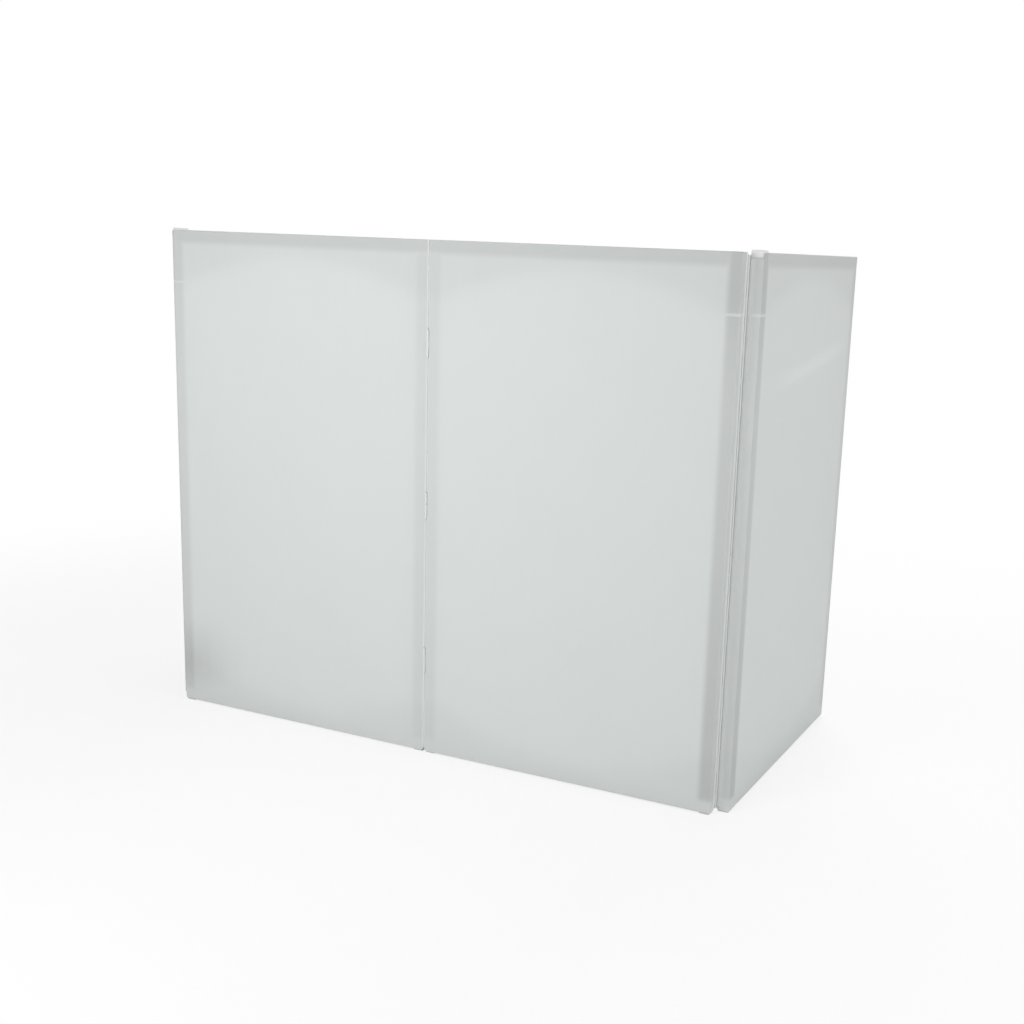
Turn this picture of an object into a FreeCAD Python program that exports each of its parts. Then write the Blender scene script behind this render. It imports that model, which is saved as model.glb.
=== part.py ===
import FreeCAD, Part
import os
from collections import namedtuple

# A folding booth screen of four hinged panels, each a square-tube frame under a stretch cover.
# It stands on Z = 0 with its front towards -Y and +X to the right seen from the front, in millimetres.
# A panel is drawn in its own frame: X from its left end, Y back from the front of its tubes, Z up.

# Frame of one panel
PANEL_WIDTH = 730.0
POST_LENGTH = 1195.0
TUBE = 28.0
WALL = 1.5
BORE_CORNER = 1.0

# Caps and feet in the ends of the posts
FOOT_HEIGHT = 4.0
FOOT_MARGIN = 1.5
FOOT_CHAMFER = 1.0
CAP_FLANGE = 2.0
DOME_HEIGHT = 8.0
DOME_ROUND = 3.0
PLUG_CLEARANCE = 0.1
PLUG_ROOM = 2.0

# Screwed joints between rails and posts
RAIL_PLUG_LENGTH = 40.0
JOINT_SCREW_RADIUS = 3.0
JOINT_SCREW_REACH = 25.0
JOINT_HEAD_RADIUS = 5.0
JOINT_HEAD_HEIGHT = 4.0
JOINT_SOCKET_RADIUS = 2.9
JOINT_SOCKET_DEPTH = 2.2
ACCESS_ROOM = 1.5
SCREW_CLEARANCE = 0.05

# Hinges between panels: short ones between the front panels, one long one down each corner
CENTRE_HINGE_LENGTH = 60.0
CENTRE_HINGE_INSET = 225.0
CORNER_HINGE_INSET = 3.0
CENTRE_KNUCKLES = 3
CORNER_KNUCKLE_LENGTH = 40.0
CENTRE_LEAF_SCREWS = 2
CORNER_LEAF_SCREWS = 10
LEAF_WIDTH = 20.0
LEAF_THICKNESS = 1.5
LEAF_CORNER = 3.0
FOLD_ROOM = 0.5
KNUCKLE_GAP = 0.3
PIN_RADIUS = 1.25
PIN_CLEARANCE = 0.05
PIN_HEAD_HEIGHT = 1.2
PIN_TAIL = 1.0
LEAF_SCREW_RADIUS = 1.9
LEAF_SCREW_REACH = 8.0
LEAF_HEAD_RADIUS = 3.4
LEAF_HEAD_HEIGHT = 1.0
LEAF_SCREW_SETBACK = 12.5
LEAF_SCREW_INSET = 10.0
CROSS_WIDTH = 0.7
CROSS_SPAN = 3.6
CROSS_DEPTH = 0.5

# Stretch cover of one panel
CLOTH = 0.8
CLOTH_CLEARANCE = 0.3
CLOTH_FOLD_ROOM = 0.9
CLOTH_END_ROOM = 0.4
FLAP_DEPTH = 50.0
POCKET_DEPTH = 125.0
POCKET_MARGIN = 10.0
RETURN_SETBACK = 3.0
SHEET_CORNER = 10.0
HINGE_NOTCH = 3.0
NOTCH_SETBACK = 0.5
CAP_ROOM = 2.0
BARE_POST = 7.0

# Sizes that follow from the ones above
BORE = TUBE - 2 * WALL
TUBE_CORNER = BORE_CORNER + WALL
PLUG = BORE - 2 * PLUG_CLEARANCE
END_PLUG_DEPTH = TUBE / 2 - JOINT_HEAD_RADIUS - PLUG_ROOM
ACCESS_RADIUS = JOINT_HEAD_RADIUS + ACCESS_ROOM
POST_FOOT = FOOT_HEIGHT
POST_TOP = POST_FOOT + POST_LENGTH
FRAME_TOP = POST_TOP + CAP_FLANGE
RAIL_HEIGHTS = (POST_FOOT + TUBE / 2, POST_TOP - TUBE / 2)
STAND_OFF = CLOTH_CLEARANCE + CLOTH
PIN_OFFSET = LEAF_THICKNESS + LEAF_HEAD_HEIGHT + FOLD_ROOM
KNUCKLE_RADIUS = PIN_OFFSET - FOLD_ROOM
CENTRE_PIN_FRONT = STAND_OFF + CLOTH_FOLD_ROOM
CORNER_GAP = 2 * (STAND_OFF + CLOTH_END_ROOM)
POST_MIDDLE = POST_FOOT + POST_LENGTH / 2
CORNER_HINGE_LENGTH = POST_LENGTH - 2 * CORNER_HINGE_INSET
CORNER_KNUCKLES = 2 * int(CORNER_HINGE_LENGTH / (2 * CORNER_KNUCKLE_LENGTH)) + 1

# Places of the panels: the depth behind and before the front tubes sets the middle of the booth
CORNER_PIN_X = PIN_OFFSET + PANEL_WIDTH + CORNER_GAP / 2
DEPTH_BEHIND = TUBE + PIN_OFFSET + CORNER_GAP / 2 + PANEL_WIDTH + STAND_OFF
DEPTH_BEFORE = CENTRE_PIN_FRONT + KNUCKLE_RADIUS
FRONT_Y = (DEPTH_BEFORE - DEPTH_BEHIND) / 2
CORNER_PIN_Y = FRONT_Y + TUBE + PIN_OFFSET
SIDE_OUTER_X = CORNER_PIN_X + PIN_OFFSET + TUBE
SIDE_FRONT_Y = CORNER_PIN_Y + CORNER_GAP / 2

Vec = FreeCAD.Vector
UP = Vec(0, 0, 1)
FREE, CORNER, CENTRE = "free", "corner", "centre"

# The hinges of each kind and the heights of their middles. An odd number of knuckles keeps them symmetric.
Hinge = namedtuple("Hinge", "length knuckles screws heights")
HINGES = {
    CENTRE: Hinge(
        CENTRE_HINGE_LENGTH,
        CENTRE_KNUCKLES,
        CENTRE_LEAF_SCREWS,
        (POST_FOOT + CENTRE_HINGE_INSET, POST_MIDDLE, POST_TOP - CENTRE_HINGE_INSET),
    ),
    CORNER: Hinge(
        CORNER_HINGE_LENGTH,
        CORNER_KNUCKLES,
        CORNER_LEAF_SCREWS,
        (POST_MIDDLE,),
    ),
}

# A panel's two ends are given from its left to its right seen from outside the booth
Panel = namedtuple("Panel", "posts ends domed base turn")
PANELS = {
    "front_left": Panel(
        ("outer_post", "centre_post"),
        (CORNER, CENTRE),
        (False, False),
        Vec(-PIN_OFFSET - PANEL_WIDTH, FRONT_Y, 0),
        0,
    ),
    "front_right": Panel(
        ("centre_post", "outer_post"),
        (CENTRE, CORNER),
        (False, False),
        Vec(PIN_OFFSET, FRONT_Y, 0),
        0,
    ),
    "side_left": Panel(
        ("rear_post", "front_post"),
        (FREE, CORNER),
        (False, True),
        Vec(-SIDE_OUTER_X, SIDE_FRONT_Y + PANEL_WIDTH, 0),
        -90,
    ),
    "side_right": Panel(
        ("front_post", "rear_post"),
        (CORNER, FREE),
        (True, False),
        Vec(SIDE_OUTER_X, SIDE_FRONT_Y, 0),
        90,
    ),
}

# Each hinge line: the panel that holds its pins, the panel that swings, and the name of each one's leaves
HingeLine = namedtuple("HingeLine", "kind holder holder_name swinger swinger_name")
HINGE_LINES = {
    "centre_hinge": HingeLine(CENTRE, "front_left", "left", "front_right", "right"),
    "left_hinge": HingeLine(CORNER, "front_left", "front", "side_left", "side"),
    "right_hinge": HingeLine(CORNER, "front_right", "front", "side_right", "side"),
}


def block(low, high):
    """A box between two opposite corners."""
    low, high = Vec(*low), Vec(*high)
    size = high - low
    return Part.makeBox(size.x, size.y, size.z, low)


def edges_along(shape, axis):
    """The straight edges of a shape that run along an axis."""
    found = []
    for edge in shape.Edges:
        run = edge.Vertexes[-1].Point - edge.Vertexes[0].Point
        if run.Length > 0 and abs(run.normalize().dot(axis)) > 0.999:
            found.append(edge)
    return found


def rim_beyond(disc, base, axis):
    """The round edge of a disc on the far side from its base."""
    return [e for e in disc.Edges if e.Closed and (e.CenterOfMass - base).dot(axis) > 0.001]


def square_bar(side, corner, length):
    """An upright square bar with rounded edges, its foot centred on the origin."""
    bar = block((-side / 2, -side / 2, 0), (side / 2, side / 2, length))
    return bar.makeFillet(corner, edges_along(bar, UP))


def square_tube(length):
    """An upright length of the frame's tube, its foot centred on the origin."""
    return square_bar(TUBE, TUBE_CORNER, length).cut(square_bar(BORE, BORE_CORNER, length))


def laid_along_x(shape, start):
    """An upright shape laid down to run along +X from a point."""
    laid = shape.copy()
    laid.Placement = FreeCAD.Placement(start, FreeCAD.Rotation(Vec(0, 1, 0), 90))
    return laid


def end_sides():
    """The left and right end of a panel: the end's X and the direction that leads into the panel."""
    return ((0.0, 1), (PANEL_WIDTH, -1))


def post_axis(side):
    """The middle of a post's section at its lower end."""
    end, inward = side
    return Vec(end + inward * TUBE / 2, TUBE / 2, POST_FOOT)


def bore_into(side, from_outside, length, radius, z):
    """A cylinder along X, from a distance inside a panel's end towards the panel's middle."""
    end, inward = side
    start = Vec(end + inward * from_outside, TUBE / 2, z)
    return Part.makeCylinder(radius, length, start, Vec(inward, 0, 0))


def hinge_frame(kind, side, z):
    """Where a hinge sits on a panel's end: X runs from the leaf to the pin, Y off the mounting face."""
    end, inward = side
    if kind == CORNER:
        pin = Vec(end - inward * CORNER_GAP / 2, TUBE + PIN_OFFSET, z)
        along, off = Vec(-inward, 0, 0), Vec(0, 1, 0)
    else:
        pin = Vec(end - inward * PIN_OFFSET, -CENTRE_PIN_FRONT, z)
        along, off = Vec(0, -1, 0), Vec(-inward, 0, 0)
    return FreeCAD.Placement(pin, FreeCAD.Rotation(along, off, along.cross(off), "XYZ"))


def placed(shapes, placement):
    """Copies of shapes moved by a placement."""
    moved = []
    for shape in shapes:
        copy = shape.copy()
        copy.Placement = placement.multiply(copy.Placement)
        moved.append(copy)
    return moved


def leaf_screw_places(hinge):
    """The screw axes of a leaf, evenly spaced, as points on its mounting face."""
    reach = hinge.length / 2 - LEAF_SCREW_INSET
    pitch = 2 * reach / (hinge.screws - 1)
    return [Vec(-LEAF_SCREW_SETBACK, -PIN_OFFSET, i * pitch - reach) for i in range(hinge.screws)]


def leaf_screw_holes(hinge):
    """Drills for a leaf's screws, through the leaf and the tube wall behind it."""
    radius = LEAF_SCREW_RADIUS + SCREW_CLEARANCE
    depth = WALL + LEAF_THICKNESS + FOLD_ROOM
    start = Vec(0, -WALL - FOLD_ROOM / 2, 0)
    places = leaf_screw_places(hinge)
    return [Part.makeCylinder(radius, depth, place + start, Vec(0, 1, 0)) for place in places]


def knuckle_spans(hinge, outer):
    """The heights of a leaf's knuckles: every other one, from the hinge's end or from the next one."""
    half, pitch = hinge.length / 2, hinge.length / hinge.knuckles
    spans = []
    for i in range(0 if outer else 1, hinge.knuckles, 2):
        spans.append((i * pitch - half + KNUCKLE_GAP / 2, (i + 1) * pitch - half - KNUCKLE_GAP / 2))
    return spans


def hinge_leaf(hinge, outer):
    """One hinge leaf with its knuckles round the pin on the Z axis."""
    relief = KNUCKLE_RADIUS + KNUCKLE_GAP
    half = hinge.length / 2
    face, back = -PIN_OFFSET, -PIN_OFFSET + LEAF_THICKNESS
    plate = block((-LEAF_WIDTH, face, -half), (-relief, back, half))
    corners = [e for e in edges_along(plate, Vec(0, 1, 0)) if e.CenterOfMass.x < -LEAF_WIDTH / 2]
    rounded = plate.makeFillet(LEAF_CORNER, corners)
    joined = []
    for low, high in knuckle_spans(hinge, outer):
        joined.append(block((-relief, face, low), (0, back, high)))
        joined.append(Part.makeCylinder(KNUCKLE_RADIUS, high - low, Vec(0, 0, low), UP))
    bore = Part.makeCylinder(PIN_RADIUS + PIN_CLEARANCE, hinge.length, Vec(0, 0, -half), UP)
    return rounded.fuse(joined).removeSplitter().cut([bore] + leaf_screw_holes(hinge))


def leaf_screws(hinge):
    """A leaf's cross-headed screws."""
    screws = []
    for place in leaf_screw_places(hinge):
        top = place + Vec(0, LEAF_THICKNESS, 0)
        out = Vec(0, 1, 0)
        head = Part.makeCylinder(LEAF_HEAD_RADIUS, LEAF_HEAD_HEIGHT, top, out)
        head = head.makeFillet(LEAF_HEAD_HEIGHT / 2, rim_beyond(head, top, out))
        shank = Part.makeCylinder(LEAF_SCREW_RADIUS, LEAF_SCREW_REACH + LEAF_THICKNESS, top, -out)
        floor = top + Vec(0, LEAF_HEAD_HEIGHT - CROSS_DEPTH, 0)
        slot = Vec(CROSS_SPAN / 2, 0, CROSS_WIDTH / 2)
        across = block(floor - slot, floor + slot + Vec(0, CROSS_DEPTH, 0))
        slot = Vec(CROSS_WIDTH / 2, 0, CROSS_SPAN / 2)
        upright = block(floor - slot, floor + slot + Vec(0, CROSS_DEPTH, 0))
        screws.append(head.fuse(shank).cut([across, upright]))
    return screws


def hinge_pin(hinge):
    """A hinge pin on the Z axis, its head on the top knuckle."""
    top = hinge.length / 2 - KNUCKLE_GAP / 2
    tail = -hinge.length / 2 - PIN_TAIL
    shank = Part.makeCylinder(PIN_RADIUS, top - tail, Vec(0, 0, tail), UP)
    head = Part.makeCylinder(KNUCKLE_RADIUS, PIN_HEAD_HEIGHT, Vec(0, 0, top), UP)
    return shank.fuse(head.makeFillet(PIN_HEAD_HEIGHT / 2, rim_beyond(head, Vec(0, 0, top), UP)))


def post(side, kind):
    """A post with its screw, access and hinge holes."""
    body = square_tube(POST_LENGTH)
    body.translate(post_axis(side))
    cuts = []
    for z in RAIL_HEIGHTS:
        cuts.append(bore_into(side, TUBE / 2, TUBE, JOINT_SCREW_RADIUS + SCREW_CLEARANCE, z))
        cuts.append(bore_into(side, -WALL, TUBE / 2 + WALL, ACCESS_RADIUS, z))
    if kind != FREE:
        for z in HINGES[kind].heights:
            cuts += placed(leaf_screw_holes(HINGES[kind]), hinge_frame(kind, side, z))
    return body.cut(cuts)


def rail(z):
    """A rail that butts between the two posts."""
    return laid_along_x(square_tube(PANEL_WIDTH - 2 * TUBE), Vec(TUBE, TUBE / 2, z))


def rail_plugs():
    """The blocks in the ends of both rails, each bored for its screw."""
    plugs = []
    for end, inward in end_sides():
        for z in RAIL_HEIGHTS:
            start = min(end + inward * TUBE, end + inward * (TUBE + RAIL_PLUG_LENGTH))
            plug = laid_along_x(square_bar(PLUG, BORE_CORNER, RAIL_PLUG_LENGTH), Vec(start, TUBE / 2, z))
            radius = JOINT_SCREW_RADIUS + SCREW_CLEARANCE
            plugs.append(plug.cut(bore_into((end, inward), TUBE, RAIL_PLUG_LENGTH, radius, z)))
    return plugs


def joint_screws():
    """The screws that pull the rails against the posts, their heads inside the posts."""
    screws = []
    for side in end_sides():
        for z in RAIL_HEIGHTS:
            seat = TUBE - WALL
            shank = bore_into(side, seat, WALL + JOINT_SCREW_REACH, JOINT_SCREW_RADIUS, z)
            head = bore_into(side, seat - JOINT_HEAD_HEIGHT, JOINT_HEAD_HEIGHT, JOINT_HEAD_RADIUS, z)
            socket = bore_into(side, seat - JOINT_HEAD_HEIGHT, JOINT_SOCKET_DEPTH, JOINT_SOCKET_RADIUS, z)
            screws.append(head.fuse(shank).cut(socket))
    return screws


def post_cap(side, domed):
    """A cap plugged into a post's top, flat under the cloth or domed and standing through it."""
    height = DOME_HEIGHT if domed else CAP_FLANGE
    flange = square_bar(TUBE, TUBE_CORNER, height)
    if domed:
        flange = flange.makeFillet(DOME_ROUND, [e for e in flange.Edges if e.BoundBox.ZMin > height / 2])
    plug = square_bar(PLUG, BORE_CORNER, END_PLUG_DEPTH)
    plug.translate(Vec(0, 0, -END_PLUG_DEPTH))
    cap = flange.fuse(plug)
    cap.translate(post_axis(side) + Vec(0, 0, POST_LENGTH))
    return cap


def foot(side):
    """A glide plugged into a post's lower end, standing on the floor."""
    pad = square_bar(TUBE - 2 * FOOT_MARGIN, TUBE_CORNER, FOOT_HEIGHT)
    pad = pad.makeChamfer(FOOT_CHAMFER, [e for e in pad.Edges if e.BoundBox.ZMax < FOOT_HEIGHT / 2])
    plug = square_bar(PLUG, BORE_CORNER, END_PLUG_DEPTH)
    plug.translate(Vec(0, 0, FOOT_HEIGHT))
    glide = pad.fuse(plug)
    glide.translate(post_axis(side) - Vec(0, 0, FOOT_HEIGHT))
    return glide


def hinge_notches(panel, setback, depth):
    """The room left round the centre hinges in the cover's edge, to a depth behind the tube's front."""
    notches = []
    reach = CENTRE_HINGE_LENGTH / 2 + HINGE_NOTCH
    for kind, (end, inward) in zip(panel.ends, end_sides()):
        if kind == CENTRE:
            inner, outer = sorted((end + inward * setback, end - inward * TUBE))
            for z in HINGES[CENTRE].heights:
                notches.append(block((inner, -TUBE, z - reach), (outer, depth, z + reach)))
    return notches


def cover_sheet(panel):
    """The cloth over the front of a panel, its lower corners rounded."""
    low = Vec(-STAND_OFF, -STAND_OFF, POST_FOOT - STAND_OFF)
    high = Vec(PANEL_WIDTH + STAND_OFF, -CLOTH_CLEARANCE, FRAME_TOP + STAND_OFF)
    sheet = block(low, high)
    corners = [e for e in edges_along(sheet, Vec(0, 1, 0)) if e.CenterOfMass.z < FRAME_TOP / 2]
    sheet = sheet.makeFillet(SHEET_CORNER, corners)
    notches = hinge_notches(panel, NOTCH_SETBACK, 0)
    return sheet.cut(notches) if notches else sheet


def rear_flap(panel, edge, towards):
    """A cloth flap on the rear face, from an edge up or down, deep at the posts and scalloped between.

    It stops short of a corner hinge's leaf.
    """
    beside_leaf = LEAF_WIDTH - CORNER_GAP / 2 + HINGE_NOTCH
    left, from_right = [beside_leaf if kind == CORNER else -STAND_OFF for kind in panel.ends]
    right = PANEL_WIDTH - from_right
    inner = TUBE + POCKET_MARGIN
    deep, shallow = edge + towards * POCKET_DEPTH, edge + towards * FLAP_DEPTH
    y = TUBE + CLOTH_CLEARANCE

    def at(x, z):
        return Vec(x, y, z)

    arc = Part.Arc(at(PANEL_WIDTH - inner, deep), at(PANEL_WIDTH / 2, shallow), at(inner, deep))
    outline = [
        Part.LineSegment(at(left, edge), at(right, edge)),
        Part.LineSegment(at(right, edge), at(right, deep)),
        Part.LineSegment(at(right, deep), at(PANEL_WIDTH - inner, deep)),
        arc,
        Part.LineSegment(at(inner, deep), at(left, deep)),
        Part.LineSegment(at(left, deep), at(left, edge)),
    ]
    wire = Part.Wire([piece.toShape() for piece in outline])
    return Part.Face(wire).extrude(Vec(0, CLOTH, 0))


def top_hem(panel):
    """The cloth over the top of a panel and its rear flap, left open round a domed cap."""
    reach = [TUBE + CAP_ROOM if domed else -STAND_OFF for domed in panel.domed]
    strip = block(
        (reach[0], -CLOTH_CLEARANCE, FRAME_TOP + CLOTH_CLEARANCE),
        (PANEL_WIDTH - reach[1], TUBE + STAND_OFF, FRAME_TOP + STAND_OFF),
    )
    return strip.fuse(rear_flap(panel, FRAME_TOP + STAND_OFF, -1)).removeSplitter()


def bottom_hem(panel):
    """The cloth under the bottom rail, between the feet, and its rear flap."""
    strip = block(
        (TUBE, -CLOTH_CLEARANCE, POST_FOOT - STAND_OFF),
        (PANEL_WIDTH - TUBE, TUBE + STAND_OFF, POST_FOOT - CLOTH_CLEARANCE),
    )
    return strip.fuse(rear_flap(panel, POST_FOOT - STAND_OFF, 1)).removeSplitter()


def side_hems(panel):
    """The cloth returns round both ends of a panel."""
    hems = []
    depth = LEAF_WIDTH - CENTRE_PIN_FRONT + HINGE_NOTCH
    for (end, inward), domed in zip(end_sides(), panel.domed):
        outer, inner = end - inward * STAND_OFF, end - inward * CLOTH_CLEARANCE
        top = POST_TOP - BARE_POST if domed else FRAME_TOP + CLOTH_CLEARANCE
        low = (min(outer, inner), -CLOTH_CLEARANCE, POST_FOOT)
        high = (max(outer, inner), TUBE - RETURN_SETBACK, top)
        hem = block(low, high)
        notches = [n for n in hinge_notches(panel, 0, depth) if n.common(hem).Volume > 0]
        hems.append(hem.cut(notches) if notches else hem)
    return hems


def panel_pieces(panel):
    """The pieces of one panel in its own frame, by the last part of their names."""
    sides = end_sides()
    pieces = {}
    for name, side, kind in zip(panel.posts, sides, panel.ends):
        pieces[name] = [post(side, kind)]
    pieces["bottom_rail"] = [rail(RAIL_HEIGHTS[0])]
    pieces["top_rail"] = [rail(RAIL_HEIGHTS[1])]
    pieces["rail_plugs"] = rail_plugs()
    pieces["joint_screws"] = joint_screws()
    pieces["post_caps"] = [post_cap(side, domed) for side, domed in zip(sides, panel.domed)]
    pieces["feet"] = [foot(side) for side in sides]
    pieces["cover_sheet"] = [cover_sheet(panel)]
    pieces["cover_hems"] = [top_hem(panel), bottom_hem(panel)] + side_hems(panel)
    return pieces


def panel_placement(panel):
    """Where a panel stands in the booth."""
    return FreeCAD.Placement(panel.base, FreeCAD.Rotation(UP, panel.turn))


def hinge_places(panel, kind):
    """The hinges of one kind on a panel, as placements in the booth."""
    side = end_sides()[panel.ends.index(kind)]
    return [panel_placement(panel).multiply(hinge_frame(kind, side, z)) for z in HINGES[kind].heights]


def hinge_line_pieces(line):
    """The leaves, screws and pins of one hinge line in the booth, by the last part of their names."""
    pieces = {}
    hinge = HINGES[line.kind]
    roles = ((line.holder_name, line.holder, True), (line.swinger_name, line.swinger, False))
    for name, panel, outer in roles:
        leaves, screws = [], []
        for place in hinge_places(PANELS[panel], line.kind):
            leaves += placed([hinge_leaf(hinge, outer)], place)
            screws += placed(leaf_screws(hinge), place)
        pieces[name + "_leaves"] = leaves
        pieces[name + "_screws"] = screws
    pins = []
    for place in hinge_places(PANELS[line.holder], line.kind):
        pins += placed([hinge_pin(hinge)], FreeCAD.Placement(place.Base, FreeCAD.Rotation()))
    pieces["pins"] = pins
    return pieces


def write_node(name, solids):
    """Write one node's solids to its file."""
    shape = solids[0] if len(solids) == 1 else Part.makeCompound(solids)
    shape.exportStep("parts/" + name + ".step")
    return shape.BoundBox


def main():
    """Build every panel and hinge line and write one file per node."""
    os.makedirs("parts", exist_ok=True)
    booth = FreeCAD.BoundBox()
    for panel_name, panel in PANELS.items():
        place = panel_placement(panel)
        for name, solids in panel_pieces(panel).items():
            booth.add(write_node(panel_name + "_" + name, placed(solids, place)))
    for line_name, line in HINGE_LINES.items():
        for name, solids in hinge_line_pieces(line).items():
            booth.add(write_node(line_name + "_" + name, solids))
    print("booth", booth)


main()
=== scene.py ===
import logging
import math
from dataclasses import dataclass, replace
from enum import Enum
from typing import Callable, Optional, Union

import bpy
import numpy as np
from mathutils import Matrix, Vector


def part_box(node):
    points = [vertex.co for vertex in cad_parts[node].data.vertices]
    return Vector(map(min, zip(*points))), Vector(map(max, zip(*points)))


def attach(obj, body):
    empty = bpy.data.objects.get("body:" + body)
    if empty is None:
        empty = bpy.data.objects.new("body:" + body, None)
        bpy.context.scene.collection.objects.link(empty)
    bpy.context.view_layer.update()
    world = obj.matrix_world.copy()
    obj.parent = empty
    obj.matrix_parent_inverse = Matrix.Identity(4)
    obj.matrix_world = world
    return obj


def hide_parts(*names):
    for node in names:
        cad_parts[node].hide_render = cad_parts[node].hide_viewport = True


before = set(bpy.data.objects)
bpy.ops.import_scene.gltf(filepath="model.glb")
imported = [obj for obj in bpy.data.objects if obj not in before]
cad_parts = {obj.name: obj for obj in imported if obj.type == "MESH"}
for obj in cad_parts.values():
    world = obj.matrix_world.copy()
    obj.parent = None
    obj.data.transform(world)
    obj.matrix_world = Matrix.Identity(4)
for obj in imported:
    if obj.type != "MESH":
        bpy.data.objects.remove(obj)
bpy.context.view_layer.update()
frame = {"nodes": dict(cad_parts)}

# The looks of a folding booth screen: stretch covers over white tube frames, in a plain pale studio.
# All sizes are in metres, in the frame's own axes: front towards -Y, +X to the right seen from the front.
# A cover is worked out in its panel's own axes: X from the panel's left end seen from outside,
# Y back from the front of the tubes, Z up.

WELD = 1e-6
MARK_DIGITS = 6
LEAST_STEP = 2e-4
CENTRE_HINGE = "centre_hinge_left_leaves"
WHITE = (1.0, 1.0, 1.0)

log = logging.getLogger("booth")
Array = np.ndarray
Colour = tuple[float, float, float]
Place = tuple[float, float, float]
Paint = tuple[float, float, float, float]
Pair = tuple[float, float]
Term = Union["Signal", float]
Spread = Union[Array, "Signal"]
Sockets = dict[Union[str, int], object]


class End(Enum):
    """What an end of a panel is hinged to."""

    FREE = "free"
    CORNER = "corner"
    CENTRE = "centre"


class Facing(Enum):
    """The way a panel's outer side faces, as the panel's turn about Z in degrees."""

    FRONT = 0
    LEFT = -90
    RIGHT = 90


def arithmetic(operation: str, swapped: bool = False) -> Callable[..., "Signal"]:
    """Make a method of Signal that adds a Math node.

    Args:
        operation: The node's operation.
        swapped: Whether the other term comes first.

    Returns:
        The method.
    """

    def method(self: "Signal", *other: Term) -> "Signal":
        """Add the node, with the signal and the other term, if there is one, as its inputs."""
        terms = (*other, self) if swapped else (self, *other)
        return self.recipe.math(operation, *terms)

    return method


class Signal:
    """What a node's socket gives. Python's operators on it add Math nodes."""

    __add__, __radd__ = arithmetic("ADD"), arithmetic("ADD", True)
    __sub__, __rsub__ = arithmetic("SUBTRACT"), arithmetic("SUBTRACT", True)
    __mul__, __rmul__ = arithmetic("MULTIPLY"), arithmetic("MULTIPLY", True)
    least, most = arithmetic("MINIMUM"), arithmetic("MAXIMUM")
    __abs__ = arithmetic("ABSOLUTE")
    sine, root = arithmetic("SINE"), arithmetic("SQRT")

    def __init__(self, recipe: "Recipe", socket: bpy.types.NodeSocket) -> None:
        """Keep the recipe and the socket."""
        self.recipe = recipe
        self.socket = socket

    def rise(self, start: float, end: float) -> "Signal":
        """A smooth step from 0 where the signal is start to 1 where it is end, in either direction."""
        sockets = {"Value": self, "From Min": start, "From Max": end}
        return self.recipe.signal("MapRange", sockets, "Result", interpolation_type="SMOOTHSTEP")


class Recipe:
    """The node tree of a material or a world, built up by expressions."""

    def __init__(self, owner: Union[bpy.types.Material, bpy.types.World]) -> None:
        """Empty the owner's node tree.

        Args:
            owner: The material or world to build.
        """
        owner.use_nodes = True
        self.owner = owner
        self.tree = owner.node_tree
        self.tree.nodes.clear()

    def node(self, kind: str, sockets: Sockets, **settings: str) -> bpy.types.Node:
        """Add a node.

        Args:
            kind: The node's type, without the prefix that all of them have.
            sockets: Values or links of its inputs, by name or number.
            settings: Its own properties, which are set first.

        Returns:
            The node.
        """
        made = self.tree.nodes.new(f"ShaderNode{kind}")
        for name, value in settings.items():
            setattr(made, name, value)
        for name, value in sockets.items():
            if isinstance(value, Signal):
                self.tree.links.new(value.socket, made.inputs[name])
            else:
                made.inputs[name].default_value = value
        return made

    def signal(self, kind: str, sockets: Sockets, output: Union[str, int] = 0, **settings: str) -> Signal:
        """Add a node and give one of its outputs, by name or number."""
        return Signal(self, self.node(kind, sockets, **settings).outputs[output])

    def math(self, operation: str, *terms: Term) -> Signal:
        """Add a Math node with these terms as its inputs, in order."""
        return self.signal("Math", dict(enumerate(terms)), operation=operation)

    def blend(self, factor: Term, first: object, second: object) -> Signal:
        """Mix two colours or links: the first where the factor is 0, the second where it is 1."""
        return self.signal("Mix", {0: factor, 6: first, 7: second}, 2, data_type="RGBA")

    def noise(self, at: Signal, scale: float, detail: float = 2.0) -> Signal:
        """Add a Noise texture from 0 to 1, with so many features per metre and so many finer layers."""
        return self.signal("TexNoise", {"Vector": at, "Scale": scale, "Detail": detail})

    def stretched(self, at: Signal, scale: Place) -> Signal:
        """Scale coordinates by a different factor along each axis."""
        return self.signal("Mapping", {"Vector": at, "Scale": scale})

    def bump(self, height: Signal, distance: float, strength: float = 1.0) -> Signal:
        """Turn a height, of which 1 stands out by the distance, into a normal."""
        return self.signal("Bump", {"Height": height, "Distance": distance, "Strength": strength}, "Normal")

    def place(self) -> Signal:
        """The coordinates of the object, which are the booth's own."""
        return self.signal("TexCoord", {}, "Object")

    def along(self, at: Signal, axis: str) -> Signal:
        """One of X, Y and Z of some coordinates."""
        return self.signal("SeparateXYZ", {"Vector": at}, axis)

    def seen_directly(self) -> Signal:
        """Tell what the camera sees, straight, mirrored or through glass, from light on surfaces.

        Returns:
            1 for what it sees, 0 for the rest.
        """
        rays = self.node("LightPath", {})
        kinds = ("Is Camera Ray", "Is Glossy Ray", "Is Transmission Ray")
        camera, glossy, through = (Signal(self, rays.outputs[kind]) for kind in kinds)
        return camera.most(glossy).most(through)

    def shade(self, shader: Signal, output: str = "OutputMaterial") -> None:
        """Give the tree its surface, in an output node of this type."""
        self.node(output, {"Surface": shader})

    def finished(self, sockets: Sockets) -> bpy.types.Material:
        """Give a material a Principled surface and hand it over."""
        self.shade(self.signal("BsdfPrincipled", sockets))
        return self.owner


def rgba(colour: Colour) -> Paint:
    """A colour with full alpha."""
    return (*colour, 1.0)


def scaled(colour: Colour, factor: float) -> Paint:
    """A colour made darker by a factor, with full alpha."""
    return rgba(tuple(channel * factor for channel in colour))


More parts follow.
